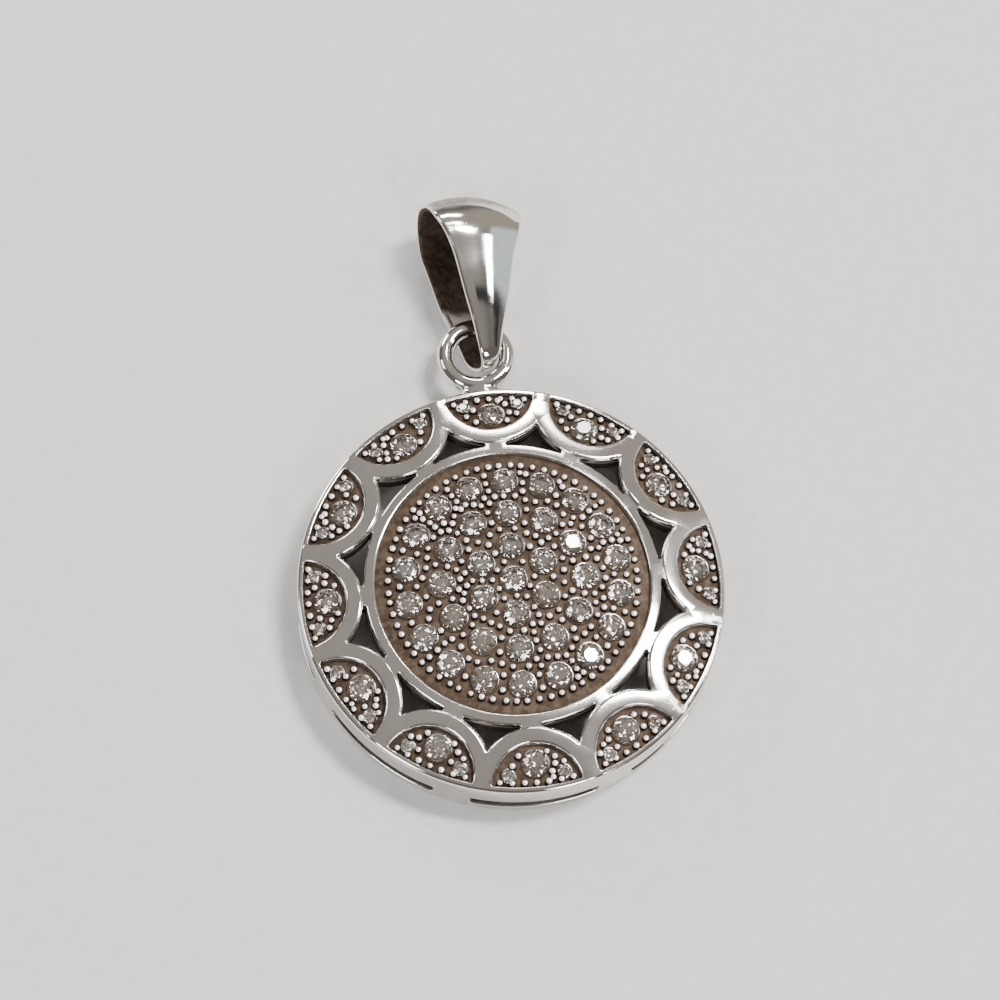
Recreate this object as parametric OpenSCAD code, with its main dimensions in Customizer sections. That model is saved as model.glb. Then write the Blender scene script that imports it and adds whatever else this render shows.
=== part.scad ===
// Round pave-set pendant with pierced scallops, a windowed side wall and a folded bail.
// The origin is on the disc's axis, at the plane of its back. +Y points to the bail, +Z out of the face.
// It lies on its back: the side wall's lower edge and the bail's lowest corner meet the plane z = 0.

/* [Disc] */
// Diameter over the rim
disc_d = 20; // [19.6:0.1:20.4]
// Height of the rim's top edge
rim_h = 2.8; // [2.7:0.1:3]
// Radius of the sphere that the front follows
dome_r = 46; // [42:1:52]
// Thickness of the front plate
plate_t = 1.1; // [1:0.05:1.2]
// Thickness of the side wall
wall_t = 0.9; // [0.8:0.05:1]
// Width of the bevel along the wall's top and bottom edges
edge_bevel = 0.12; // [0.08:0.02:0.16]

/* [Scallops] */
// Number of scallops round the centre
scallop_count = 12; // [12]
// Distance from the disc's axis to the centre of a scallop's arch
arch_centre_r = 9.95; // [9.9:0.05:10]
// Inner radius of an arch
arch_inner_r = 2.15; // [2.1:0.05:2.15]
// Width of the arch's polished frame
arch_w = 0.77; // [0.75:0.01:0.8]
// Width of the thin rim line outside a scallop's stones
rim_line_w = 0.28; // [0.25:0.01:0.35]
// Width over which an arch is joined to the centre ring
arch_joint_w = 1.35; // [1.2:0.05:1.5]

/* [Centre ring and stone fields] */
// Outer diameter of the polished centre ring
ring_outer_d = 13.86; // [13.8:0.02:13.9]
// Width of the centre ring
ring_w = 0.53; // [0.5:0.01:0.56]
// Depth of the stone fields below the polished metal
field_depth = 0.35; // [0.3:0.05:0.4]

/* [Side windows] */
// Number of windows in the side wall
window_count = 8; // [8]
// Height of the windows' lower edge
window_low = 0.53; // [0.5:0.01:0.6]
// Height of the windows' upper edge
window_high = 1.27; // [1.2:0.01:1.3]
// Angle that each post between two windows takes
post_angle = 10; // [8:1:12]

/* [Stones] */
// Diameter of a main stone
stone_d = 1.2; // [1.15:0.01:1.22]
// Diameter of a small stone at each end of a scallop
side_stone_d = 0.6; // [0.56:0.01:0.62]
// Spacing of the rings of stones in the centre field
stone_ring_step = 1.68; // [1.66:0.01:1.7]
// Angle of the first stone in each ring, from +X
stone_ring_turn = 28; // [0:1:60]
// Distance from the disc's axis to a scallop's main stone
petal_stone_r = 8.7; // [8.65:0.01:8.75]
// Distance of a scallop's small stones from its middle line
side_stone_x = 1.3; // [1.25:0.01:1.35]
// Distance of the small stones from the disc's axis, along the scallop's middle line
side_stone_y = 9.17; // [9.15:0.01:9.2]

/* [Loop] */
// Diameter of the loop's wire
loop_wire_d = 0.84; // [0.8:0.02:0.84]
// Diameter of the loop at the middle of its wire
loop_d = 3; // [3:0.05:3.1]
// How far the loop's centre lies to one side of the disc's middle line
loop_x = -0.25; // [-0.26:0.01:-0.2]
// Distance from the disc's axis to the loop's centre
loop_y = 12.14; // [12.12:0.01:12.16]
// Height of the loop's middle plane
loop_z = 1.9; // [1.88:0.01:1.92]

/* [Bail] */
// Thickness of the bail's band at its edges
bail_t = 0.32; // [0.3:0.01:0.33]
// How far the middle of the band's outside stands proud of its edges, at its widest
bail_crown = 0.5; // [0.3:0.05:0.55]
// Outer radius of the fold at the bail's top, along the band's edges
bail_top_r = 1.94; // [1.9:0.01:1.96]
// Outer radius of the fold at the bail's tail, along the band's edges
bail_tail_r = 1.02; // [1.01:0.01:1.03]
// Distance between the centres of the two folds
bail_l = 5.4; // [5.3:0.05:5.5]
// Place of the tail fold's centre, to one side of the disc's middle line
bail_x = 0.05; // [0.03:0.01:0.08]
// Place of the tail fold's centre, from the disc's axis
bail_y = 12.44; // [12.43:0.01:12.46]
// Height of the tail fold's centre
bail_z = 1.85; // [1.84:0.01:1.87]
// How far the bail leans to one side as it lies
bail_roll = 21; // [20:0.5:21.5]
// How far the bail's top is raised as it lies
bail_pitch = 5.7; // [5.5:0.1:7]
// How far the bail is turned from the disc's middle line
bail_yaw = 1.5; // [0:0.5:2]

/* [Hidden] */
CELLS = [for (k = [1:scallop_count]) k];
$fn = 64;

disc_r = disc_d / 2;
dome_z = rim_h - sqrt(dome_r * dome_r - disc_r * disc_r);
cell_angle = 360 / scallop_count;
arch_outer_r = arch_inner_r + arch_w;
field_r = ring_outer_d / 2 - ring_w;
cut_h = 10;
// A circle that ends beyond the gaps' tips and within the arches
gap_limit_r = 8.6;
// A stone's seat is this much narrower than its girdle, so that it carries the stone
seat_inset = 0.02;
// Radius of the hole behind a main stone, through which light reaches it
light_hole_r = 0.32;
// A stone's table lies this far below the polished metal
table_depth = 0.06;
// Proportions of a cut stone, as parts of its diameter
table_part = 0.56;
crown_part = 0.16;
girdle_part = 0.035;
pavilion_part = 0.43;
stone_sides = 8;
// The solder between the rim and the loop, as width, depth and height
solder_size = [1.7, 1.05, 0.8];
// The bail's band, as a place on the way round it and half the width there.
// The way starts at the tail's end, runs up the front, is half done at the top and comes back behind.
BAIL_WIDTHS = [
    [0, 0.2],
    [0.06, 0.54],
    [0.12, 0.77],
    [0.2, 1.19],
    [0.3, 1.63],
    [0.4, 2.36],
    [0.5, 2.3],
    [0.6, 1.78],
    [0.7, 1.48],
    [0.8, 1.24],
    [0.88, 0.76],
    [0.94, 0.51],
    [1, 0.2]
];
// Sections round the bail, and where each has its points across the outside and back across the inside
bail_sections = 48;
OUTSIDE_POINTS = [-1, -0.6, -0.2, 0.2, 0.6, 1];
INSIDE_POINTS = [1, 0.5, 0, -0.5, -1];
// The inside follows this part of the outside's crown, and the narrowest stretch keeps a little of it
inside_crown_part = 0.7;
least_crown_part = 0.15;
// Where the side view's straight runs meet its two folds, as lengths from the tail's end
bail_slope = asin((bail_top_r - bail_tail_r) / bail_l);
tail_fold = bail_tail_r * (90 - bail_slope) * PI / 180;
side_run = bail_l * cos(bail_slope);
top_fold = bail_top_r * (90 + bail_slope) * PI / 180;
bail_round = 2 * (tail_fold + side_run + top_fold);
bail_widest = max([for (row = BAIL_WIDTHS) row[1]]);

// Solid ball under the front's surface, lowered by a depth
module dome(depth = 0) {
    translate([0, 0, dome_z]) sphere(r = dome_r - depth);
}

// Puts its children on the front's surface, upright to it, at a distance and angle from the axis
module on_dome(r, angle, depth = 0) {
    translate([0, 0, dome_z])
        rotate([0, asin(r / dome_r), angle])
            translate([0, 0, dome_r - depth]) children();
}

// Places of the centre field's stones, as distance and angle, in rings of 1, 6, 12 and 18
CENTRE_PLACES = concat([[0, 0]], [for (ring = [1:3]) for (k = [0:6 * ring - 1])
    [stone_ring_step * ring, stone_ring_turn + 60 / ring * k]]);

function cell_middle(k) = 90 - cell_angle * (k - 1);
function side_place(k, side) = [norm([side_stone_x, side_stone_y]),
                                cell_middle(k) - side * atan(side_stone_x / side_stone_y)];

// Cut stone: a table, eight crown facets, a thin girdle and eight pavilion facets to a point
module cut_stone(d) {
    heights = [crown_part + girdle_part, girdle_part, 0] * d;
    radii = [table_part, 1, 1] * d / 2;
    rings = [for (i = [0:2]) for (s = [0:stone_sides - 1])
        [radii[i] * cos(360 / stone_sides * s), radii[i] * sin(360 / stone_sides * s), heights[i]]];
    culet = 3 * stone_sides;
    sides = [for (i = [0:1]) for (s = [0:stone_sides - 1])
        let (a = i * stone_sides + s, b = i * stone_sides + (s + 1) % stone_sides)
            [a, b, b + stone_sides, a + stone_sides]];
    point = [for (s = [0:stone_sides - 1])
        [2 * stone_sides + s, 2 * stone_sides + (s + 1) % stone_sides, culet]];
    polyhedron(points = concat(rings, [[0, 0, -pavilion_part * d]]),
               faces = concat([[for (s = [stone_sides - 1:-1:0]) s]], sides, point));
}

// Stone set so that its table lies just below the polished metal
module set_stone(place, d) {
    on_dome(place[0], place[1], table_depth + (crown_part + girdle_part) * d) cut_stone(d);
}

// Conical seat for a stone's pavilion, with a hole on to the back where hole_r isn't 0
module stone_seat(place, d, hole_r) {
    seat_r = d / 2 - seat_inset;
    cone_end = field_depth + pavilion_part * d * (1 - hole_r / seat_r);
    back = 1.5 * plate_t;
    bottom = hole_r > 0 ? [[0, -back], [hole_r, -back], [hole_r, -cone_end]] : [[0, -cone_end]];
    on_dome(place[0], place[1]) rotate_extrude()
        polygon(concat(bottom, [[seat_r, -field_depth], [seat_r, edge_bevel], [0, edge_bevel]]));
}

// Disc before anything is cut from it
module blank() {
    intersection() {
        rotate_extrude() polygon([
            [0, 0],
            [disc_r - edge_bevel, 0],
            [disc_r, edge_bevel],
            [disc_r, rim_h - edge_bevel],
            [disc_r - edge_bevel, rim_h],
            [disc_r - edge_bevel, cut_h],
            [0, cut_h]
        ]);
        dome();
    }
}

// Open space behind the front plate
module back_hollow() {
    intersection() {
        translate([0, 0, -1]) cylinder(r = disc_r - wall_t, h = cut_h);
        dome(plate_t);
    }
}

// Outline of one scallop's field of stones: a lens between the arch and the rim line
module petal_outline(k) {
    intersection() {
        circle(r = disc_r - rim_line_w);
        rotate(cell_middle(k)) translate([arch_centre_r, 0]) circle(r = arch_inner_r);
    }
}

// Recess of a field of stones, whose floor follows the front's surface
module recess() {
    difference() {
        linear_extrude(cut_h) children();
        dome(field_depth);
    }
}

// Curved triangles between the arches and the centre ring
module pierced_gaps() {
    linear_extrude(cut_h) difference() {
        circle(r = gap_limit_r);
        circle(d = ring_outer_d);
        for (k = CELLS) rotate(cell_middle(k)) {
            translate([arch_centre_r, 0]) circle(r = arch_outer_r);
            translate([field_r, -arch_joint_w / 2])
                square([arch_centre_r - arch_outer_r - field_r + arch_w / 2, arch_joint_w]);
        }
    }
}

// Slots through the side wall, with a post between each two
module side_windows() {
    window_angle = 360 / window_count - post_angle;
    for (w = [0:window_count - 1]) rotate(360 / window_count * w - window_angle / 2)
        rotate_extrude(angle = window_angle)
            translate([disc_r - 1.5 * wall_t, window_low]) square([2 * wall_t, window_high - window_low]);
}

// Closed wire loop soldered to the rim, flat in the disc's plane
module loop() {
    translate([loop_x, loop_y, loop_z]) rotate_extrude()
        translate([loop_d / 2, 0]) circle(d = loop_wire_d);
    translate([loop_x, loop_y - loop_d / 2 - solder_size[1] / 2, loop_z]) cube(solder_size, center = true);
}

// One cast and soldered piece: disc, scallops, centre ring, wall and loop
module setting() {
    color("silver") union() {
        difference() {
            blank();
            back_hollow();
            recess() circle(r = field_r);
            recess() for (k = CELLS) petal_outline(k);
            pierced_gaps();
            side_windows();
            for (place = CENTRE_PLACES) stone_seat(place, stone_d, light_hole_r);
            for (k = CELLS) {
                stone_seat([petal_stone_r, cell_middle(k)], stone_d, light_hole_r);
                for (side = [-1, 1]) stone_seat(side_place(k, side), side_stone_d, 0);
            }
        }
        loop();
    }
}

module centre_stones() {
    color("white") for (place = CENTRE_PLACES) set_stone(place, stone_d);
}

module petal_stone(k) {
    color("white") set_stone([petal_stone_r, cell_middle(k)], stone_d);
}

module petal_side_stones() {
    color("lavender") for (k = CELLS) for (side = [-1, 1]) set_stone(side_place(k, side), side_stone_d);
}

// Direction that the band's outside faces in the side view, at a length from the tail's end.
// It turns from 180 degrees at the tail to 0 at the top.
function facing(s) =
    s < tail_fold ? 180 - s / bail_tail_r * 180 / PI :
    s < tail_fold + side_run ? 90 + bail_slope :
    90 + bail_slope - (s - tail_fold - side_run) / bail_top_r * 180 / PI;

// Point of the band at a place round it and a part of its half width, raised from the edges' line
function band_point(place, across, outside) =
    let (s = min(place, 1 - place) * bail_round,
         up = place <= 0.5 ? 1 : -1,
         along = max(0, min(1, (s - tail_fold) / side_run)),
         half_w = lookup(place, BAIL_WIDTHS),
         wide_part = max(least_crown_part, half_w / bail_widest),
         crown = bail_crown * wide_part * (1 - across * across),
         edge_r = bail_tail_r + along * (bail_top_r - bail_tail_r),
         r = edge_r + (outside ? crown : inside_crown_part * crown - bail_t))
    [across * half_w, along * bail_l + r * cos(facing(s)), up * r * sin(facing(s))];

// Folded band, wide over the chain and tapered to the tail that holds the loop
module bail() {
    around = len(OUTSIDE_POINTS) + len(INSIDE_POINTS);
    points = [for (i = [0:bail_sections - 1]) let (place = i / bail_sections) each concat(
        [for (v = OUTSIDE_POINTS) band_point(place, v, true)],
        [for (v = INSIDE_POINTS) band_point(place, v, false)])];
    faces = [for (i = [0:bail_sections - 1]) for (k = [0:around - 1])
        let (next = (i + 1) % bail_sections, a = i * around + k, b = i * around + (k + 1) % around,
             c = next * around + (k + 1) % around, d = next * around + k)
            each [[a, c, b], [a, d, c]]];
    color("silver")
        translate([bail_x, bail_y, bail_z]) rotate([0, 0, bail_yaw]) rotate([bail_pitch, 0, 0])
            rotate([0, bail_roll, 0]) polyhedron(points = points, faces = faces);
}

setting();
bail();
centre_stones();
petal_side_stones();
for (k = CELLS) petal_stone(k);
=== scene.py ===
import math

import bpy
import numpy as np
from mathutils import Matrix, Vector
from mathutils.geometry import delaunay_2d_cdt


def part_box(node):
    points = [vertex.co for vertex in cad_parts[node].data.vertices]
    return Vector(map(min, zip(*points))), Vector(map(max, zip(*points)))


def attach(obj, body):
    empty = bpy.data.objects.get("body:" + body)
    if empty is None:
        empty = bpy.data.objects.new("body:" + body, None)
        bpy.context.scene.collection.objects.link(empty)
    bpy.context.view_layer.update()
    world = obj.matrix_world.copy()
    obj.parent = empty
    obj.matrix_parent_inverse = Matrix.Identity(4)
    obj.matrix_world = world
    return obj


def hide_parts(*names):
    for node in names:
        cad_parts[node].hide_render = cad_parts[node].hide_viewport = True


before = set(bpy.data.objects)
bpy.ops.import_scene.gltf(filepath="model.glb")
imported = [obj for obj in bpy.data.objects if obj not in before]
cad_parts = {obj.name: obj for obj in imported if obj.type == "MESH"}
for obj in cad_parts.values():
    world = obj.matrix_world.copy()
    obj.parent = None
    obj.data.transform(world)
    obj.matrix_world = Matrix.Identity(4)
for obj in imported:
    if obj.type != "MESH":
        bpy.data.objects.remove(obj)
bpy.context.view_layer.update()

# Camera. The pendant lies face up and is seen from above, a quarter of a right angle off the upright,
# from the side away from its bail and a little to the left. The picture takes in 46.5 mm at the rim's height.
MM = 0.001
rim_height = 2.8
view_turn = math.radians(254.51)
view_tilt = math.radians(21.78)
view_roll = math.radians(-7.23)
view_distance = 130.0
picture_width = 46.52
disc_right_of_middle = 0.577
disc_below_middle = 3.968
film_width = 36.0

view_back = Vector((math.sin(view_tilt) * math.cos(view_turn), math.sin(view_tilt) * math.sin(view_turn),
                    math.cos(view_tilt)))
level_right = Vector((0, 1, 0)).cross(view_back).normalized()
level_up = view_back.cross(level_right)
view_right = level_right * math.cos(view_roll) + level_up * math.sin(view_roll)
view_up = level_up * math.cos(view_roll) - level_right * math.sin(view_roll)
eye = (Vector((0, 0, rim_height)) + view_back * view_distance
       - view_right * disc_right_of_middle + view_up * disc_below_middle) * MM

camera_data = bpy.data.cameras.new("camera")
camera_data.sensor_width = film_width
camera_data.lens = film_width * view_distance / picture_width
camera_data.clip_start = MM
camera = bpy.data.objects.new("camera", camera_data)
camera.matrix_world = Matrix.Translation(eye) @ Matrix((view_right, view_up, view_back)).transposed().to_4x4()
bpy.context.scene.collection.objects.link(camera)
bpy.context.scene.camera = camera


# Floor and light. A pale matt table top, a soft box to the upper right that throws short shadows to the
# lower left, weaker ones round about that the stones and edges catch, and a dim warm room with a lighter side
# to the right, so that the metal has both light and dark to mirror.
class Finish:
    """A socket in a material's node tree. Arithmetic on it adds Math nodes."""

    def __init__(self, tree, socket=None):
        self.tree = tree
        self.socket = socket

    def node(self, kind, settings=None, sockets=None, out=0):
        """Adds a node: its settings first, then the values or links of its sockets. Gives its output, by name
        or number."""
        made = self.tree.nodes.new(kind)
        for name, value in (settings or {}).items():
            setattr(made, name, value)
        for name, value in (sockets or {}).items():
            if isinstance(value, Finish):
                self.tree.links.new(value.socket, made.inputs[name])
            else:
                made.inputs[name].default_value = value
        return Finish(self.tree, made.outputs[out]) if made.outputs else made

    def sum_up(self, operation, first, second):
        return self.node("ShaderNodeMath", {"operation": operation}, {0: first, 1: second})

    def __add__(self, other):
        return self.sum_up("ADD", self, other)

    def __sub__(self, other):
        return self.sum_up("SUBTRACT", self, other)

    def __rsub__(self, other):
        return self.sum_up("SUBTRACT", other, self)

    def __mul__(self, other):
        return self.sum_up("MULTIPLY", self, other)

    __radd__ = __add__
    __rmul__ = __mul__

    def above(self, low, high):
        """0 below low, 1 above high, and a soft step between."""
        return self.node("ShaderNodeMapRange", {"interpolation_type": "SMOOTHSTEP"},
                         {"Value": self, "From Min": low, "From Max": high})

    def blend(self, first, second):
        """First colour where this is 0, second where it is 1."""
        return self.node("ShaderNodeMix", {"data_type": "RGBA"}, {0: self, 6: first, 7: second}, out=2)

    def noise(self, scale, detail=3.0, roughness=0.5, stretch=(1, 1, 1), turn=0.0):
        """Cloudy noise with scale in repeats per millimetre, drawn out along an axis by a small stretch."""
        where = self.node("ShaderNodeTexCoord", out="Object")
        turned = self.node("ShaderNodeMapping", None, {
            "Vector": where, "Rotation": (0, 0, turn), "Scale": [s * scale / MM for s in stretch]})
        return self.node("ShaderNodeTexNoise", None, {
            "Vector": turned, "Scale": 1.0, "Detail": detail, "Roughness": roughness})

    def bump(self, height, depth, strength):
        """Normal of a surface raised by height, which goes from 0 to 1 over a depth in millimetres."""
        return self.node("ShaderNodeBump", None, {
            "Height": height, "Distance": depth * MM, "Strength": strength})


def new_material(name, paint, **fixed):
    """Material whose one shader takes fixed values as they are, and what paint(finish) gives as links."""
    material = bpy.data.materials.new(name)
    material.use_nodes = True
    tree = material.node_tree
    tree.nodes.clear()
    finish = Finish(tree)
    sockets = {key.replace("_", " "): value for key, value in fixed.items()}
    sockets.update(paint(finish))
    shader = finish.node("ShaderNodeBsdfPrincipled", None, sockets)
    finish.node("ShaderNodeOutputMaterial", None, {"Surface": shader})
    return material


def new_mesh(name, points, faces):
    """Mesh object from points in millimetres."""
    mesh = bpy.data.meshes.new(name)
    mesh.from_pydata((np.asarray(points, float) * MM).tolist(), [], [list(map(int, f)) for f in faces])
    mesh.update()
    made = bpy.data.objects.new(name, mesh)
    bpy.context.scene.collection.objects.link(made)
    return made


def paint_floor(finish):
    grain = finish.noise(1.2, 4.0)
    return {"Base Color": grain.above(0.3, 0.7).blend((0.60, 0.59, 0.575, 1), (0.64, 0.63, 0.615, 1)),
            "Normal": finish.bump(grain, 0.05, 0.4)}


floor_half = 900.0
floor_drop = 0.004
floor = new_mesh("table_top", [(x * floor_half, y * floor_half, -floor_drop)
                               for x, y in ((-1, -1), (1, -1), (1, 1), (-1, 1))], [(0, 1, 2, 3)])
floor.data.materials.append(new_material("pale_table_top", paint_floor, Roughness=0.75))


def soft_box(name, toward, distance, width, height, power, colour, turn=0.0):
    """Oblong area light seen from the pendant in the given direction, turned about that direction."""
    data = bpy.data.lights.new(name, "AREA")
    data.shape = "RECTANGLE"
    data.size, data.size_y = width * MM, height * MM
    data.energy = power
    data.color = colour
    light = bpy.data.objects.new(name, data)
    way = Vector(toward).normalized()
    stand = way.to_track_quat("Z", "Y").to_matrix() @ Matrix.Rotation(turn, 3, "Z")
    light.matrix_world = Matrix.Translation(way * distance * MM) @ stand.to_4x4()
    bpy.context.scene.collection.objects.link(light)


soft_box("key_box", (0.37, 0.16, 0.915), 380, 50, 94, 1.75, (1.0, 0.975, 0.94), math.radians(-40))
soft_box("right_box", (0.742, -0.02, 0.669), 420, 42, 68, 0.3, (1.0, 0.98, 0.95))
soft_box("small_box", (0.24, 0.403, 0.883), 400, 24, 24, 0.17, (1.0, 0.97, 0.93))
soft_box("back_box", (0.17, 0.73, 0.66), 420, 90, 50, 0.35, (1.0, 0.97, 0.93))
soft_box("left_box", (-0.85, 0.2, 0.5), 420, 110, 110, 0.35, (0.93, 0.96, 1.0))
soft_box("front_box", (0.3, -0.72, 0.64), 420, 110, 110, 0.75, (1.0, 0.95, 0.92))
soft_box("front_left_box", (-0.58, -0.5, 0.65), 420, 110, 110, 0.75, (0.95, 0.97, 1.0))
soft_box("low_back_box", (-0.5, 0.78, 0.4), 420, 110, 90, 0.6, (1.0, 0.97, 0.93))

world = bpy.data.worlds.new("room")
world.use_nodes = True
world.node_tree.nodes.clear()
room = Finish(world.node_tree)
outward = room.node("ShaderNodeTexCoord", out="Generated")
to_right = room.node("ShaderNodeSeparateXYZ", None, {"Vector": outward}, out="X")
to_back = room.node("ShaderNodeSeparateXYZ", None, {"Vector": outward}, out="Y")


def toward(way):
    """How nearly a direction of the room points the given way."""
    return room.node("ShaderNodeVectorMath", {"operation": "DOT_PRODUCT"},
                     {0: outward, 1: tuple(Vector(way).normalized())}, out="Value")


ceiling = toward((0.1, 0.36, 0.93)).above(0.62, 0.9)
warm_wall = toward((0.76, 0.55, 0.35)).above(0.8, 0.95)
lean_back = to_back - to_right * 0.19
cool_wall = to_right.above(0.74, 0.8) * lean_back.above(-0.225, -0.195) * (1 - to_back.above(0.18, 0.4))
screen = (lean_back.above(-0.297, -0.287) * (1 - lean_back.above(-0.242, -0.232)) * to_right.above(0.3, 0.34)
          * (1 - to_right.above(0.93, 0.96)))
room_light = ceiling.blend((0.15, 0.135, 0.12, 1), (0.36, 0.335, 0.305, 1))
room_light = warm_wall.blend(room_light, (0.42, 0.375, 0.31, 1))
room_light = cool_wall.blend(room_light, (0.8, 0.86, 0.92, 1))
room_light = screen.blend(room_light, (0.03, 0.032, 0.036, 1))
room.node("ShaderNodeOutputWorld", None, {
    "Surface": room.node("ShaderNodeBackground", None, {"Color": room_light, "Strength": 1.0})})
bpy.context.scene.world = world

# Setting. One cast silver piece, 20 mm across: a domed plate with a polished centre ring and twelve scalloped
# arches, curved triangles pierced between them, sunk fields cut with seats for the stones, a side wall with
# eight windows, and a loop of wire soldered to the rim. The edges are rounded by polishing.
disc_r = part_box("setting")[1].x / MM
dome_r = 46.0
dome_z = rim_height - math.sqrt(dome_r ** 2 - disc_r ** 2)
plate = 1.1
wall = 0.9
field_depth = 0.35
ring_outer_r = 6.93
field_r = 6.4
scallops = 12
arch_centre_r = 9.95
arch_inner_r = 2.15
arch_outer_r = 2.92
rim_line = 0.28
windows = 8
window_low = 0.53
window_high = 1.27
post_turn = math.radians(10)
lower_bevel = 0.12


def quads(rows, count, come_round=False):
    """Quads between rings of as many points each. The last ring may be joined to the first too."""
    return [(r * count + i, r * count + (i + 1) % count,
             (r + 1) % rows * count + (i + 1) % count, (r + 1) % rows * count + i)
            for r in range(rows if come_round else rows - 1) for i in range(count)]


class Skin:
    """Gathers a piece's faces, with the surface's own direction at each corner and how dark it is painted
    there, by tarnish and by painted shade.
    """

    def __init__(self):
        self.points = []
        self.ups = []
        self.tarnish_and_shade = []
        self.faces = []

    def add(self, points, ups, faces, tarnish_and_shade=0.0):
        start = sum(len(p) for p in self.points)
        self.points.append(np.asarray(points, float))
        self.ups.append(np.broadcast_to(np.asarray(ups, float), (len(points), 3)))
        self.tarnish_and_shade.append(np.broadcast_to(np.asarray(tarnish_and_shade, float), (len(points),)))
        self.faces += [[start + i for i in face] for face in faces]

    def strips(self, rings, ups, tarnish_and_shade):
        """Quads between rings of as many points each. Tarnish and painted shade is one level, one a ring, or
        one a point.
        """
        count = len(rings[0])
        levels = np.asarray(tarnish_and_shade, float)
        levels = np.broadcast_to(levels if levels.ndim == 2 else levels.reshape(-1, 1), (len(rings), count))
        self.add(np.concatenate(rings), np.concatenate(ups), quads(len(rings), count), levels.ravel())

    def fill(self, surface, rim, holes, depth, tarnish_and_shade=0.0, side=1):
        """Triangles on a surface inside a rim and outside the holes, all given in the surface's own plan."""
        loops = [rim, *holes]
        plan = np.concatenate(loops)
        edges = []
        start = 0
        for loop in loops:
            count = len(loop)
            edges += [(start + i, start + (i + 1) % count) for i in range(count)]
            start += count
        found, _, triangles, origins = delaunay_2d_cdt([Vector(p) for p in plan], edges, [], 0, 1e-7)[:4]
        corners = np.array([plan[origin[0]] if origin else tuple(c) for c, origin in zip(found, origins)])
        triangles = np.array(triangles)
        middles = corners[triangles].mean(1)
        keep = inside(middles, rim)
        for hole in holes:
            keep &= ~inside(middles, hole)
        self.add(surface.put(corners, depth), surface.up(corners, depth) * side, triangles[keep], tarnish_and_shade)

    def piece(self, name):
        """Mesh object with the points welded, the faces turned outward and each corner's direction kept."""
        points = np.concatenate(self.points)
        ups = np.concatenate(self.ups)
        tarnish_and_shade = np.concatenate(self.tarnish_and_shade)
        _, first, where = np.unique(np.round(points, 5), axis=0, return_index=True, return_inverse=True)
        where = where.ravel()
        level = np.zeros(len(first))
        np.maximum.at(level, where, tarnish_and_shade)
        faces, directions = [], []
        for face in self.faces:
            corners = [c for i, c in enumerate(face) if where[c] != where[face[i - 1]]]
            if len(corners) < 3:
                continue
            p = points[corners] - points[corners[0]]
            facing = np.cross(p[1], p[2]) + (np.cross(p[2], p[3]) if len(p) > 3 else 0)
            if facing @ ups[corners].sum(0) < 0:
                corners = corners[::-1]
            faces.append([where[c] for c in corners])
            directions += [ups[c] for c in corners]
        made = new_mesh(name, points[first], faces)
        made.data.shade_smooth()
        made.data.normals_split_custom_set([Vector(d).normalized() for d in directions])
        # One darkness level holds real tarnish and painted shade alike.
        layer = made.data.attributes.new("tarnish_and_shade", "FLOAT", "POINT")
        layer.data.foreach_set("value", level.astype(np.float32))
        return made


def inside(points, loop):
    """Which points lie inside a closed loop, by the crossings of a line from each."""
    x, y = points[:, 0:1], points[:, 1:2]
    a, b = loop, np.roll(loop, -1, axis=0)
    spans = (a[:, 1] > y) != (b[:, 1] > y)
    with np.errstate(divide="ignore", invalid="ignore"):
        cross = a[:, 0] + (y - a[:, 1]) * (b[:, 0] - a[:, 0]) / (b[:, 1] - a[:, 1])
    return ((spans & (x < cross)).sum(1) % 2) == 1


def unit(v):
    return v / np.linalg.norm(v, axis=-1, keepdims=True)


class Dome:
    """The disc's front, and every surface that lies a depth below it. Its plan is the view from above."""

    def put(self, plan, depth):
        height = dome_z + np.sqrt((dome_r - depth) ** 2 - (plan ** 2).sum(1))
        return np.column_stack([plan, height])

    def up(self, plan, depth=0.0):
        return unit(self.put(plan, depth) - [0, 0, dome_z])

    def level(self, plan, ways):
        return np.column_stack([ways, np.zeros(len(ways))])


band_crown = 0.1
ring_fade = 0.25
band_reach = 1.05


class Face(Dome):
    """The polished face. Polishing has left the ring and each arch a little crowned across their width."""

    def up(self, plan, depth=0.0):
        ups = super().up(plan, depth)
        r = np.hypot(*plan.T)
        across = np.clip((2 * r - ring_outer_r - field_r) / (ring_outer_r - field_r), -1, 1)
        fade = np.clip((ring_outer_r + ring_fade - r) / ring_fade, 0, 1)
        lean = (band_crown * across * fade / r)[:, None] * plan
        for turn in cell_turns:
            away = plan - arch_middle(turn)
            reach = np.hypot(*away.T)
            across = (2 * reach - arch_outer_r - arch_inner_r) / (arch_outer_r - arch_inner_r)
            lean += np.where(np.abs(across) < band_reach, band_crown * across / reach, 0)[:, None] * away
        ups[:, :2] += lean
        return unit(ups)


class Wall:
    """The side wall's outside, and every surface a depth inside it. Its plan is the wall unrolled."""

    def put(self, plan, depth):
        turn = plan[:, 0] / disc_r
        r = disc_r - depth
        return np.column_stack([r * np.cos(turn), r * np.sin(turn), plan[:, 1]])

    def up(self, plan, depth=0.0):
        turn = plan[:, 0] / disc_r
        return np.column_stack([np.cos(turn), np.sin(turn), np.zeros(len(plan))])

    def level(self, plan, ways):
        turn = plan[:, 0] / disc_r
        return np.column_stack([-np.sin(turn) * ways[:, 0], np.cos(turn) * ways[:, 0], ways[:, 1]])


def circle(radius, count):
    """Points round a circle about the disc's axis, and the way out from its centre at each."""
    turn = np.arange(count) * 2 * np.pi / count
    ways = np.column_stack([np.cos(turn), np.sin(turn)])
    return radius * ways, ways


def fan(start, end, radius, step, least=1):
    """Directions from one unit vector to another the short way round, at most a step apart on a radius."""
    sweep = math.atan2(start[0] * end[1] - start[1] * end[0], start @ end)
    count = max(least, math.ceil(abs(sweep) * radius / step))
    turns = math.atan2(start[1], start[0]) + sweep * np.arange(count) / count
    return np.column_stack([np.cos(turns), np.sin(turns)])


arc_step = 0.11
corner_steps = 6


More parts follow.
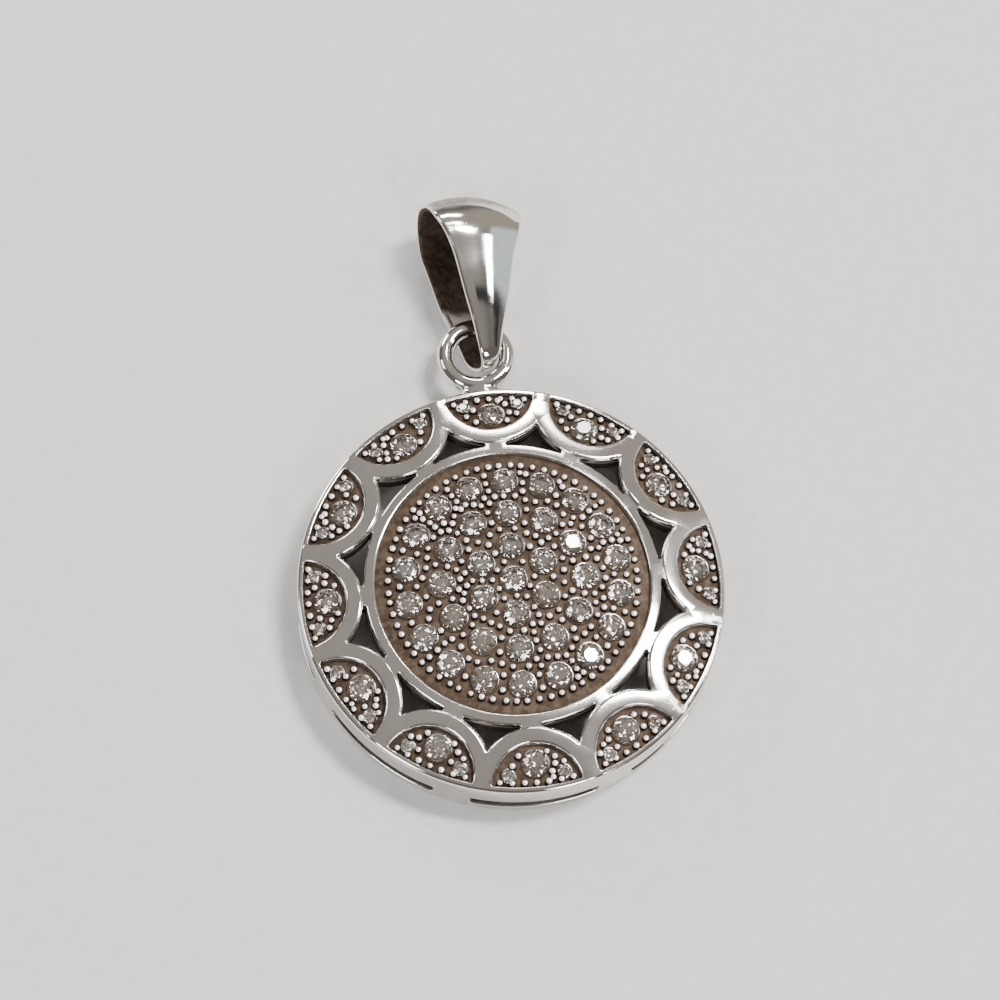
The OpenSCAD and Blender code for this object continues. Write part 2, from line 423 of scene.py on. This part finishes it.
def outline(sides, corners):
    """Opening bounded by arcs, with rounded corners, as points and the way into the metal at each.

    A side is (centre, radius, 1 where the opening lies inside that circle and -1 where outside); the corner
    after it is (a point near it, its rounding)."""
    hubs = []
    for i, (near, rounding) in enumerate(corners):
        (a, ra, ia), (b, rb, ib) = sides[i], sides[(i + 1) % len(sides)]
        ra, rb = ra - ia * rounding, rb - ib * rounding
        span = np.hypot(*(b - a))
        x = (b - a) / span
        along = (span ** 2 + ra ** 2 - rb ** 2) / (2 * span)
        across = math.sqrt(ra ** 2 - along ** 2) * np.array([-x[1], x[0]])
        meets = a + along * x
        hubs.append(min((meets + across, meets - across), key=lambda p: np.hypot(*(p - near))))
    points, ways = [], []
    for i, (centre, radius, within) in enumerate(sides):
        start, end = (unit((hubs[j] - centre) * within) for j in (i - 1, i))
        arc = fan(start, end, radius, arc_step)
        points.append(centre + within * radius * arc)
        ways.append(arc)
        following = sides[(i + 1) % len(sides)]
        onward = unit((hubs[i] - following[0]) * following[2])
        corner = fan(end, onward, corners[i][1], arc_step, corner_steps)
        points.append(hubs[i] + corners[i][1] * corner)
        ways.append(corner)
    return np.concatenate(points), np.concatenate(ways)


edge_steps = 5


def rolled_edge(skin, surface, points, ways, width, drop, below=(), tarnish_and_shade=(), start=0.0):
    """Edge rolled over from a face into an opening, and on down its side to the depths given. Width and drop
    may vary along it. Returns the plan of the edge's start on the face."""
    rings, ups, levels = [], [], []
    out = surface.level(points, ways)
    width = np.broadcast_to(width, len(points))[:, None]
    drop = np.broadcast_to(drop, len(points))[:, None]
    for k in range(edge_steps + 1):
        turn = k / edge_steps * math.pi / 2
        plan = points + ways * width * (1 - math.sin(turn))
        rings.append(surface.put(plan, start + drop[:, 0] * (1 - math.cos(turn))))
        ups.append(unit(surface.up(plan) * width * math.cos(turn) - out * drop * math.sin(turn)))
        levels.append(0.0)
    for depth, level in zip(below, tarnish_and_shade):
        rings.append(surface.put(points, depth))
        ups.append(-out)
        levels.append(level)
    skin.strips(rings, ups, levels)
    return points + ways * width


# How much lighter the burrs are painted on the side toward the light, a painted highlight.
lit_side_lift = 0.55


def turned(skin, profile, place, count, tarnish_and_shade, lit_side=None):
    """Ring of revolution about a seat's axis. The profile is a list of radii and heights; place puts its
    points. Its tarnish and painted shade are lightened on the lit side, where one is given, as a painted
    highlight."""
    profile = np.asarray(profile, float)
    run = np.diff(profile, axis=0)
    side = unit(np.column_stack([run[:, 1], -run[:, 0]]))
    facing = unit(np.vstack([side[:1], side[:-1] + side[1:], side[-1:]]))
    way = circle(1, count)[1]
    rings = [place(np.column_stack([way * r, np.full(count, z)]), 1) for r, z in profile]
    ups = [place(np.column_stack([way * f[0], np.full(count, f[1])]), 0) for f in facing]
    level = np.broadcast_to(tarnish_and_shade, (len(rings),))[:, None]
    if lit_side is not None:
        out = place(np.column_stack([way, np.zeros(count)]), 0)[:, :2]
        level = level - lit_side_lift * np.clip(out @ lit_side, 0, 1)
    skin.strips(rings, ups, level)
    return rings


def on_dome(distance, turn):
    """Puts points given at the middle of a seat, upright to the front there, into the pendant's frame."""
    lean = distance / dome_r
    upright = math.sqrt(1 - lean ** 2)
    c, s = math.cos(turn), math.sin(turn)
    stand = np.array([(c * upright, -s, c * lean), (s * upright, c, s * lean), (-lean, 0, upright)])
    middle = stand @ [0, 0, dome_r] + [0, 0, dome_z]
    return lambda points, is_place: points @ stand.T + middle * is_place


middle = np.zeros(2)


def at(r, turn):
    return r * np.array([math.cos(turn), math.sin(turn)])


def arch_middle(turn):
    return at(arch_centre_r, turn)


def inward(points, ways):
    """1 where the way into the metal points at the disc's axis, 0 where it points across or outward."""
    return np.clip(-(unit(points) * ways).sum(1), 0, 1)


# Places of the stones: rings of 1, 6, 12 and 18 in the centre, then one large and two small in each scallop
stone_d = 1.2
small_stone_d = 0.6
ring_step = 1.68
ring_turn = math.radians(28)
centre_places = [(0.0, 0.0)] + [(ring_step * ring, ring_turn + math.pi / 3 / ring * k)
                                for ring in (1, 2, 3) for k in range(6 * ring)]
cell_turns = [math.radians(90 - 360 / scallops * k) for k in range(scallops)]
main_stone_r = 8.7
main_places = [(main_stone_r, turn) for turn in cell_turns]
small_x, small_y = 1.3, 9.17
small_places = [(math.hypot(small_x, small_y), turn - side * math.atan2(small_x, small_y))
                for turn in cell_turns for side in (-1, 1)]

light_hole_r = 0.32
seat_inset = 0.02
pavilion = 0.43
# The burrs round the seats are painted dark, partly tarnish and partly painted shade, and lighter toward the
# light as a painted highlight.
lip_tarnish_and_shade = [1.0, 0.9, 0.8, 0.75, 0.8, 0.9, 1.0]
lip_lit_side = np.array([0.6, 0.8])


def cut_seat(skin, where, d, through):
    """Seat with a small burr round it that holds the stone, bored through or blind. Returns the plans of its
    mouth and of its light hole."""
    place = on_dome(*where)
    girdle = d / 2
    burr = 0.05 + 0.03 * d

    def floor_height(r, depth):
        return math.sqrt((dome_r - depth) ** 2 - r ** 2) - dome_r

    top = floor_height(girdle, field_depth) + burr
    mouth = girdle + 0.1
    lip = [(mouth, floor_height(mouth, field_depth)), (girdle + 0.085, top - 0.45 * burr),
           (girdle + 0.06, top - 0.1 * burr), (girdle + 0.035, top), (girdle + 0.012, top - 0.1 * burr),
           (girdle - 0.002, top - 0.5 * burr), (girdle - seat_inset, top - 1.1 * burr)]
    count = 40 if through else 26
    rings = turned(skin, lip, place, count, lip_tarnish_and_shade, lip_lit_side)
    start = lip[-1]
    if not through:
        turned(skin, [start, (0.0, start[1] - pavilion * d)], place, count, 0.9)
        return rings[0][:, :2], None
    cone_end = start[1] - pavilion * d * (1 - light_hole_r / girdle)
    back = floor_height(light_hole_r, plate)
    turned(skin, [start, (light_hole_r, cone_end)], place, count, 0.85)
    hole = turned(skin, [(light_hole_r, cone_end), (light_hole_r, back)], place, count, 1.0)
    return rings[0][:, :2], hole[-1][:, :2]


ring_drop = 0.1
front, face, side_wall = Dome(), Face(), Wall()
setting_skin = Skin()
around = 480
sunk_tarnish = 0.7
side_tarnish = 0.8
centre_mouths, field_mouths, light_holes = [], [[] for _ in range(scallops)], []
for where in centre_places:
    mouth, hole = cut_seat(setting_skin, where, stone_d, True)
    centre_mouths.append(mouth)
    light_holes.append(hole)
for k in range(scallops):
    mouth, hole = cut_seat(setting_skin, main_places[k], stone_d, True)
    field_mouths[k].append(mouth)
    light_holes.append(hole)
    for where in small_places[2 * k:2 * k + 2]:
        field_mouths[k].append(cut_seat(setting_skin, where, small_stone_d, False)[0])

# The polished face, with the edges of all that is sunk or pierced in it
face_openings = []
points, ways = circle(field_r, 360)
field_start = rolled_edge(setting_skin, face, points, ways, width=0.12, drop=0.13,
                          below=[field_depth], tarnish_and_shade=[side_tarnish], start=ring_drop)
setting_skin.fill(front, points, centre_mouths, field_depth, sunk_tarnish)

field_corner_turn = math.radians(12.5)
for k, turn in enumerate(cell_turns):
    sides = [(middle, disc_r - rim_line, 1), (arch_middle(turn), arch_inner_r, 1)]
    ends = [(at(disc_r, turn + field_corner_turn), 0.09), (at(disc_r, turn - field_corner_turn), 0.09)]
    points, ways = outline(sides, ends)
    arch_side = inward(points, ways)
    face_openings.append(rolled_edge(
        setting_skin, face, points, ways, width=0.06 + 0.08 * arch_side, drop=0.07 + 0.1 * arch_side,
        below=[field_depth], tarnish_and_shade=[side_tarnish]))
    setting_skin.fill(front, points, field_mouths[k], field_depth, sunk_tarnish)

# The arches stand a little over the ring, which reaches out to each of them. Between two arches it is pierced
ledge = 0.015
gap_tip_r = 8.24
half_cell = math.pi / scallops
arch_points, arch_ways = outline([(arch_middle(turn), arch_outer_r, -1) for turn in cell_turns],
                                 [(at(gap_tip_r, turn - half_cell), 0.05) for turn in cell_turns])
arch_start = rolled_edge(setting_skin, face, arch_points, arch_ways, width=0.15, drop=ring_drop)
gap_outlines, gap_starts = [], []
for turn in cell_turns:
    sides = [(middle, ring_outer_r, -1), (arch_middle(turn), arch_outer_r + ledge, -1),
             (arch_middle(turn + 2 * half_cell), arch_outer_r + ledge, -1)]
    ends = [(at(ring_outer_r, turn + 0.1), 0.08), (at(gap_tip_r, turn + half_cell), 0.04),
            (at(ring_outer_r, turn + 2 * half_cell - 0.1), 0.08)]
    points, ways = outline(sides, ends)
    ring_side = inward(points, ways)
    # Low in each gap its sides are painted at full darkness, partly tarnish and partly painted shade.
    gap_starts.append(rolled_edge(
        setting_skin, face, points, ways, width=0.8 * ledge + 0.09 * ring_side, drop=0.02 + 0.08 * ring_side,
        below=[0.6, plate], tarnish_and_shade=[side_tarnish, 1.0], start=ring_drop))
    gap_outlines.append(points)
setting_skin.fill(face, arch_points, [field_start, *gap_starts], ring_drop)

rim_roll = 0.14
points, ways = circle(disc_r, around)
rim_start = rolled_edge(setting_skin, face, points, -ways, rim_roll, rim_roll)
setting_skin.fill(face, rim_start, [arch_start, *face_openings], depth=0.0)
inner_rim = circle(disc_r - wall, around)[0]
# The back of the plate, inside the pendant, is painted at full darkness, partly tarnish and partly painted
# shade.
setting_skin.fill(front, inner_rim, gap_outlines + light_holes, plate, tarnish_and_shade=1.0, side=-1)

# The side wall, in as many stretches as it has windows cut through, and the flat ring that it rests on
sector = 2 * math.pi / windows
sector_steps = around // windows
half_window = (sector - post_turn) / 2 * disc_r
window_corner = 0.12
window_roll = 0.06
wall_top = front.put(circle(disc_r, 3)[0], rim_roll)[0, 2]
wall_inner_top = front.put(circle(disc_r - wall, 3)[0], plate)[0, 2]


def stretch(turn, low, high):
    """Plan of one stretch of the unrolled wall."""
    across = (turn + sector * (np.arange(sector_steps + 1) / sector_steps - 0.5)) * disc_r
    return np.concatenate([np.column_stack([across, np.full(len(across), low)]),
                           np.column_stack([across, np.full(len(across), high)])[::-1]])


for w in range(windows):
    turn = sector * w
    x, y = half_window - window_corner, (window_high - window_low) / 2 - window_corner
    corners = [(x, y, 0), (-x, y, 90), (-x, -y, 180), (x, -y, 270)]
    points, ways = [], []
    for i, (cx, cy, start) in enumerate(corners):
        quarter = np.radians(start + np.linspace(0, 90, 7))
        way = np.column_stack([np.cos(quarter), np.sin(quarter)])
        points.append(np.array([cx, cy]) + window_corner * way)
        ways.append(way)
        ahead = np.array(corners[(i + 1) % 4][:2])
        if i % 2 == 0:
            run = np.linspace(0, 1, 50)[1:-1, None]
            ends = np.array([cx, cy]) + window_corner * way[-1], ahead + window_corner * way[-1]
            points.append(ends[0] + (ends[1] - ends[0]) * run)
            ways.append(np.repeat(way[-1:], len(run), axis=0))
    points = np.concatenate(points) + [turn * disc_r, (window_low + window_high) / 2]
    ways = np.concatenate(ways)
    # The window's sides, inside the wall, are painted dark, partly tarnish and partly painted shade.
    opening = rolled_edge(setting_skin, side_wall, points, ways, window_roll, window_roll,
                          below=[wall], tarnish_and_shade=[0.9])
    outer, inner = (stretch(turn, lower_bevel, top) for top in (wall_top, wall_inner_top))
    setting_skin.fill(side_wall, outer, [opening], depth=0.0, tarnish_and_shade=0.38)
    # The wall's inside is painted at full darkness, partly tarnish and partly painted shade.
    setting_skin.fill(side_wall, inner, [points], wall, tarnish_and_shade=1.0, side=-1)

bevel = [(lower_bevel * (1 - math.cos(a)), lower_bevel * (1 - math.sin(a)))
         for a in np.linspace(0, math.pi / 2, 6)]
foot = [(disc_r - x, y) for x, y in bevel] + [(disc_r - wall + y, x) for x, y in bevel]
turned(setting_skin, foot[::-1], lambda p, is_place: p, around, tarnish_and_shade=0.3)

# The loop, a ring of round wire soldered to the rim. Its foot is the solder that has flowed up its sides.
loop_r = 1.5
wire_r = 0.42
loop_middle = np.array([-0.25, 12.14, 1.9])
solder = [(9.7, 1.55, 0.46), (9.92, 1.5, 0.45), (10.04, 1.32, 0.43), (10.18, 1.12, 0.41), (10.38, 0.92, 0.38),
          (10.6, 0.76, 0.34), (10.76, 0.55, 0.28)]


def tube(rings):
    """Closed mesh through rings of as many points each, with its ends filled."""
    count = len(rings[0])
    ends = [range(count)[::-1], range((len(rings) - 1) * count, len(rings) * count)]
    return np.concatenate(rings), quads(len(rings), count) + ends


def fused(pieces, grain, rounds):
    """The given closed meshes melted into one, in millimetres: its points, their ways out and its faces."""
    mesh = bpy.data.meshes.new("melt")
    start, points, faces = 0, [], []
    for p, f in pieces:
        points += p.tolist()
        faces += [[start + int(i) for i in face] for face in f]
        start += len(p)
    mesh.from_pydata(points, [], faces)
    melt = bpy.data.objects.new("melt", mesh)
    bpy.context.scene.collection.objects.link(melt)
    melt.modifiers.new("melt", "REMESH").voxel_size = grain
    smooth = melt.modifiers.new("smooth", "SMOOTH")
    smooth.factor = 0.5
    smooth.iterations = rounds
    done = melt.evaluated_get(bpy.context.evaluated_depsgraph_get()).to_mesh()
    found = np.empty(len(done.vertices) * 3)
    done.vertices.foreach_get("co", found)
    ways_out = np.empty(len(done.vertices) * 3)
    done.vertex_normals.foreach_get("vector", ways_out)
    made = found.reshape(-1, 3), ways_out.reshape(-1, 3), [list(p.vertices) for p in done.polygons]
    bpy.data.objects.remove(melt)
    return made


wire_sides = 32
wire_bends = 96
section = np.linspace(0, 2 * math.pi, wire_sides, endpoint=False)
wire = np.array([[((loop_r + wire_r * math.cos(b)) * math.cos(a),
                   (loop_r + wire_r * math.cos(b)) * math.sin(a), wire_r * math.sin(b)) for b in section]
                 for a in np.linspace(0, 2 * math.pi, wire_bends, endpoint=False)])
foot_rings = [np.array([(loop_middle[0] + half_w * math.cos(a), y, loop_middle[2] + half_h * math.sin(a))
                        for a in section]) for y, half_w, half_h in solder]
whole_wire = wire.reshape(-1, 3) + loop_middle, quads(wire_bends, wire_sides, True)
melt_grain = 0.045
melt_rounds = 6
loop_points, loop_ways, loop_faces = fused([whole_wire, tube(foot_rings)], melt_grain, melt_rounds)
setting_skin.add(loop_points, loop_ways, loop_faces)

setting = setting_skin.piece("setting_cast")


def paint_silver(finish):
    tarnish_and_shade = finish.node("ShaderNodeAttribute", {"attribute_name": "tarnish_and_shade"}, out="Fac")
    clouds = finish.noise(0.35, 5.0, 0.6)
    mottle = finish.noise(3.0, 4.0, 0.6)
    # Dark where the level is high: real tarnish in the hollows, and painted shade inside the pendant, in the
    # bail's fold and round the seats.
    stain_and_shade = (tarnish_and_shade + clouds * 0.35 + mottle * 0.25 - 0.3).above(0.25, 0.75)
    clean = clouds.above(0.3, 0.75).blend((0.80, 0.785, 0.755, 1), (0.87, 0.86, 0.84, 1))
    dark = mottle.above(0.35, 0.7).blend((0.04, 0.026, 0.017, 1), (0.095, 0.068, 0.047, 1))
    scratches = finish.noise(2.2, 5.0, 0.65, (1, 9, 9), 0.6) + finish.noise(2.6, 5.0, 0.65, (9, 1, 9), 0.25)
    satin = finish.noise(0.22, 3.0).above(0.42, 0.62)
    grit = finish.noise(7.0, 3.0, 0.6) * stain_and_shade
    return {"Base Color": stain_and_shade.blend(clean, dark), "Roughness": satin * 0.07 + stain_and_shade * 0.5 + 0.06,
            "Metallic": 1 - stain_and_shade * 0.5,
            "Normal": finish.bump(scratches * (satin * 0.8 + 0.2) + grit, 0.004, 0.5)}


silver = new_material("worn_silver", paint_silver, Specular_IOR_Level=0.25)
setting.data.materials.append(silver)
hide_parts("setting")
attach(setting, "root")

# Grains. Fine beads of the setting's own silver, raised from the sunk fields between the stones and pushed
# over their edges. They are rounded with a cupped tool, so each has a domed shiny top.
rng = np.random.default_rng(7)
grain_r = 0.155
grain_height = 0.27
edge_row_r = 5.8
edge_row_count = 68
centre_ground_r = 5.6
centre_count = 186
scallop_ground_r = 9.5
scallop_middle_r = 8.8
scallop_count = 8
clear_of_stone = 0.14
clear_of_small_stone = 0.13
spread_rounds = 30


def near(points, places):
    """Distance from each point to the nearest of the places."""
    return np.hypot(*(points[:, None] - places[None]).transpose(2, 0, 1)).min(1)


def spread(free, count, kept):
    """As many places spread evenly over the free points, with the places that are kept as neighbours."""
    places = free[rng.choice(len(free), count, replace=False)]
    for _ in range(spread_rounds):
        everything = np.vstack([places, kept])
        owner = np.hypot(*(free[:, None] - everything[None]).transpose(2, 0, 1)).argmin(1)
        for k in range(count):
            own = free[owner == k]
            if len(own):
                places[k] = own.mean(0)
    return places


def squares(low, high, step):
    across = np.arange(low, high, step)
    return np.stack(np.meshgrid(across, across), -1).reshape(-1, 2)


def plan_of(places):
    return np.array([at(r, turn) for r, turn in places])


def paint_beads(finish):
    tarnish_and_shade = finish.node("ShaderNodeAttribute", {"attribute_name": "tarnish_and_shade"}, out="Fac")
    spots = finish.noise(1.1, 3.0)
    colour = tarnish_and_shade.above(0.1, 0.6).blend(spots.blend((0.93, 0.89, 0.84, 1), (0.93, 0.91, 0.92, 1)),
                                           (0.10, 0.066, 0.045, 1))
    return {"Base Color": colour, "Roughness": 0.32 + spots * 0.14}


beaded = new_material("beaded_silver", paint_beads, Metallic=1.0)


def beads(name, places):
    """One mesh of grains standing on the sunk floor at the given places."""
    rows = [(1.24, -0.06), (1.13, 0.18), (1.06, 0.42), (0.98, 0.66), (0.86, 0.85), (0.64, 0.96),
            (0.32, 0.995)]
    # Each grain is painted darker down its sides toward the sunk floor.
    row_darkening = [1.0, 1.0, 0.95, 0.7, 0.28, 0.0, 0.0]
    sides = 12
    turn = np.arange(sides) * 2 * np.pi / sides
    grains = Skin()
    for spot in places:
        width, height = grain_r * rng.uniform(0.88, 1.08), grain_height * rng.uniform(0.85, 1.08)
        lean = np.array([*rng.uniform(-0.05, 0.05, 2), 0]) * height
        base = front.put(spot[None], field_depth)[0]
        rings = [np.column_stack([width * w * np.cos(turn), width * w * np.sin(turn),
                                  np.full(sides, height * h)]) + base + lean * h for w, h in rows]
        slopes = np.gradient(np.array(rows) * [width, height], axis=0)
        ups = [np.column_stack([s[1] * np.cos(turn), s[1] * np.sin(turn), np.full(sides, -s[0])])
               for s in slopes]
        grains.strips(rings, [unit(u) for u in ups], row_darkening)
        grains.add(rings[-1], unit(ups[-1]), [range(sides)])
    made = grains.piece(name)
    made.data.materials.append(beaded)
    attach(made, "root")


edge_turns = np.arange(edge_row_count) * 2 * np.pi / edge_row_count + rng.normal(0, 0.006, edge_row_count)
edge_row = edge_row_r * np.column_stack([np.cos(edge_turns), np.sin(edge_turns)])
stone_plans = plan_of(centre_places)
ground = squares(-centre_ground_r, centre_ground_r, 0.055)
ground = ground[(np.hypot(*ground.T) < centre_ground_r)
                & (near(ground, stone_plans) > stone_d / 2 + clear_of_stone)]
beads("grains_centre", np.vstack([edge_row, spread(ground, centre_count, edge_row)]))

scallop_grains = []
for k, turn in enumerate(cell_turns):
    row = np.array([at(scallop_ground_r, turn + a) for a in np.radians(np.linspace(-10.2, 10.2, 7))])
    own_large, own_small = plan_of(main_places[k:k + 1]), plan_of(small_places[2 * k:2 * k + 2])
    ground = squares(-2, 2, 0.05) + at(scallop_middle_r, turn)
    ground = ground[(np.hypot(*ground.T) < scallop_ground_r)
                    & (np.hypot(*(ground - arch_middle(turn)).T) < arch_inner_r - 0.17)
                    & (near(ground, own_large) > stone_d / 2 + clear_of_stone)
                    & (near(ground, own_small) > small_stone_d / 2 + clear_of_small_stone)]
    row = row[near(row, own_large) > stone_d / 2 + 0.1]
    scallop_grains += [row, spread(ground, scallop_count, np.vstack([row, own_small]))]
beads("grains_scallops", np.concatenate(scallop_grains))

# Stones. Clear round brilliants, 1.2 mm and 0.6 mm across, each dropped in its seat and held by the grains.
# They aren't quite level, so they flash one after another.
crown = 0.16
girdle_part = 0.035
table_part = 0.56
table_depth = 0.06
star_reach = 0.759
lower_reach = 0.24


def brilliant(d):
    """Corners and flat faces of a brilliant cut, with its girdle's lower edge at height 0."""
    r = d / 2
    half = math.cos(math.pi / 8)
    girdle_top = girdle_part * d

    def row(reach, height, start, count):
        return [(r * reach * math.cos((k + start) * 2 * math.pi / count),
                 r * reach * math.sin((k + start) * 2 * math.pi / count), height) for k in range(count)]

    star_height = girdle_top + crown * d * (1 - star_reach * half) / (1 - table_part)
    points = (row(table_part, girdle_top + crown * d, 0, 8) + row(star_reach, star_height, 0.5, 8)
              + row(1, girdle_top, 0, 16) + row(1, 0, 0, 16)
              + row(lower_reach, -pavilion * d * (1 - lower_reach * half), 0.5, 8) + [(0, 0, -pavilion * d)])
    table, star, upper, lower, deep, point = 0, 8, 16, 32, 48, 56
    faces = [range(8)]
    for k in range(8):
        n, before = (k + 1) % 8, (k - 1) % 8
        faces += [(table + k, star + k, table + n), (star + before, upper + 2 * k, star + k, table + k),
                  (star + k, upper + 2 * k, upper + 2 * k + 1), (star + k, upper + 2 * k + 1, upper + 2 * n),
                  (deep + k, lower + 2 * k + 1, lower + 2 * k), (deep + k, lower + 2 * n, lower + 2 * k + 1),
                  (point, deep + k, lower + 2 * k, deep + before)]
    for k in range(16):
        n = (k + 1) % 16
        faces.append((upper + k, lower + k, lower + n, upper + n))
    return np.array(points), faces


usual_lean = 0.045
flashing_leans = {7: (0, 0), 33: (-0.049, 0.063)}


def set_stones(name, places, d, node, leans):
    """One mesh of stones in their seats, standing for a node. Some, by number, have a lean of their own."""
    cut, cut_faces = brilliant(d)
    points, faces = [], []
    for k, where in enumerate(places):
        place = on_dome(*where)
        turn, lean = rng.uniform(0, 2 * math.pi), rng.normal(0, usual_lean, 2)
        lean = leans.get(k, lean)
        spin = np.array(Matrix.Rotation(lean[0], 3, "X") @ Matrix.Rotation(lean[1], 3, "Y")
                        @ Matrix.Rotation(turn, 3, "Z"))
        start = sum(len(p) for p in points)
        sunk = cut @ spin.T - [0, 0, table_depth + (crown + girdle_part) * d]
        points.append(place(sunk, 1))
        faces += [[start + i for i in face] for face in cut_faces]
    made = new_mesh(name, np.concatenate(points), faces)
    made.data.materials.append(clear)
    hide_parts(node)
    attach(made, "root")


def paint_clear(finish):
    warmth = finish.noise(0.6, 2.0)
    grime = finish.noise(2.0, 4.0, 0.6)
    return {"Base Color": warmth.above(0.4, 0.65).blend((0.97, 0.93, 0.87, 1), (0.95, 0.85, 0.73, 1)),
            "Roughness": grime.above(0.6, 0.85) * 0.04}


clear = new_material("clear_cut_stone", paint_clear, Transmission_Weight=1.0, IOR=2.15)
set_stones("centre_stones_cut", centre_places, stone_d, "centre_stones", flashing_leans)
set_stones("petal_side_stones_cut", small_places, small_stone_d, "petal_side_stones", {})
for k in range(scallops):
    set_stones(f"petal_stone_cut_{k + 1}", main_places[k:k + 1], stone_d, f"petal_stone_{k + 1}", {})

# Bail. A flat leaf of silver, crowned outside, folded over on itself and closed at its narrow tail, which
# hangs in the loop. Its outside is polished, and its inside is left dull, tarnished and painted darker as
# shade.
bail_t = 0.32
bail_crown = 0.5
bail_top_r = 1.94
bail_tail_r = 1.02
bail_l = 5.4
bail_middle = (0.05, 12.44, 1.86)
bail_roll, bail_pitch, bail_yaw = (math.radians(a) for a in (21, 5.7, 1.5))
bail_widths = [(0, 0.2), (0.06, 0.54), (0.12, 0.77), (0.2, 1.19), (0.3, 1.63), (0.4, 2.36), (0.5, 2.3),
               (0.6, 1.78), (0.7, 1.48), (0.8, 1.24), (0.88, 0.76), (0.94, 0.51), (1, 0.2)]
inside_crown_part = 0.7
least_crown_part = 0.15
bail_bow = 0.07

bail_slope = math.asin((bail_top_r - bail_tail_r) / bail_l)
tail_fold = bail_tail_r * (math.pi / 2 - bail_slope)
side_run = bail_l * math.cos(bail_slope)
half_round = tail_fold + side_run + bail_top_r * (math.pi / 2 + bail_slope)
bail_stand = np.array(Matrix.Rotation(bail_yaw, 3, "Z") @ Matrix.Rotation(bail_pitch, 3, "X")
                      @ Matrix.Rotation(bail_roll, 3, "Y"))
station_count = 180
stations = np.arange(station_count) / station_count
known = np.array(bail_widths)
fine_places = np.linspace(0, 1, 4 * station_count + 1)
ease_reach = 20
ease = np.hanning(2 * ease_reach + 3)[1:-1]
eased = np.convolve(np.pad(np.interp(fine_places, *known.T), ease_reach, "edge"), ease / ease.sum(), "valid")
across_front = np.linspace(-1, 1, 15)
across_inside = np.linspace(1, -1, 11)
round_edge = np.radians([60, 30, 0, -30, -60])
bail_rings = []
for place in stations:
    s = min(place, 1 - place) * 2 * half_round
    up = 1 if place <= 0.5 else -1
    along = min(1, max(0, (s - tail_fold) / side_run))
    if s < tail_fold:
        facing = math.pi - s / bail_tail_r
    elif s < tail_fold + side_run:
        facing = math.pi / 2 + bail_slope
    else:
        facing = math.pi / 2 + bail_slope - (s - tail_fold - side_run) / bail_top_r
    half_w = float(np.interp(place, fine_places, eased))
    crown_here = bail_crown * max(least_crown_part, half_w / known[:, 1].max())
    bow = bail_bow * math.sin(math.pi * along) if up > 0 else 0
    edge_r = bail_tail_r + along * (bail_top_r - bail_tail_r) + bow
    edge = bail_t / 2
    outside = [(x, edge_r + crown_here * (1 - (x / half_w) ** 2)) for x in across_front * (half_w - edge)]
    within = [(x, edge_r + inside_crown_part * crown_here * (1 - (x / half_w) ** 2) - bail_t)
              for x in across_inside * (half_w - edge)]
    end, high, low = outside[-1][0], outside[-1][1], within[0][1]
    rounded = [(edge * math.cos(a), (high + low) / 2 + (high - low) / 2 * math.sin(a)) for a in round_edge]
    profile = (outside + [(end + x, r) for x, r in rounded]
               + within + [(-end - x, r) for x, r in rounded[::-1]])
    ring = np.array([(x, along * bail_l + r * math.cos(facing), up * r * math.sin(facing))
                     for x, r in profile])
    bail_rings.append(ring @ bail_stand.T + bail_middle)
bail = new_mesh("bail_leaf", np.concatenate(bail_rings), quads(len(bail_rings), len(bail_rings[0]), True))
bail.data.shade_smooth()
bail_tarnish_and_shade = bail.data.attributes.new("tarnish_and_shade", "FLOAT", "POINT")
# Outside, the back of the fold is painted darker: partly tarnish, partly a painted dark reflection.
around_back = np.interp(stations, [0.38, 0.42, 0.46, 0.5], [0.0, 0.56, 0.56, 0.2])
# Inside, the fold is painted dark, partly tarnish and partly painted shade, with a painted pool of light near
# the tail.
in_fold = np.interp(stations, [0, 0.2, 0.76, 0.82, 0.84, 0.9], [1.0, 1.2, 1.2, 0.35, 0.35, 1.0])
over_edge = [0.9, 0.7, 0.5, 0.3, 0.1]
outer_share = np.array([1.0] * len(across_front) + over_edge + [0.0] * len(across_inside) + over_edge[::-1])
level = np.outer(around_back, outer_share) + np.outer(in_fold, outer_share < 0.4)
bail_tarnish_and_shade.data.foreach_set("value", level.ravel().astype(np.float32))
bail_silver = new_material("bail_polish", paint_silver, Specular_IOR_Level=0.25)
bail.data.materials.append(bail_silver)
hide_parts("bail")
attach(bail, "root")
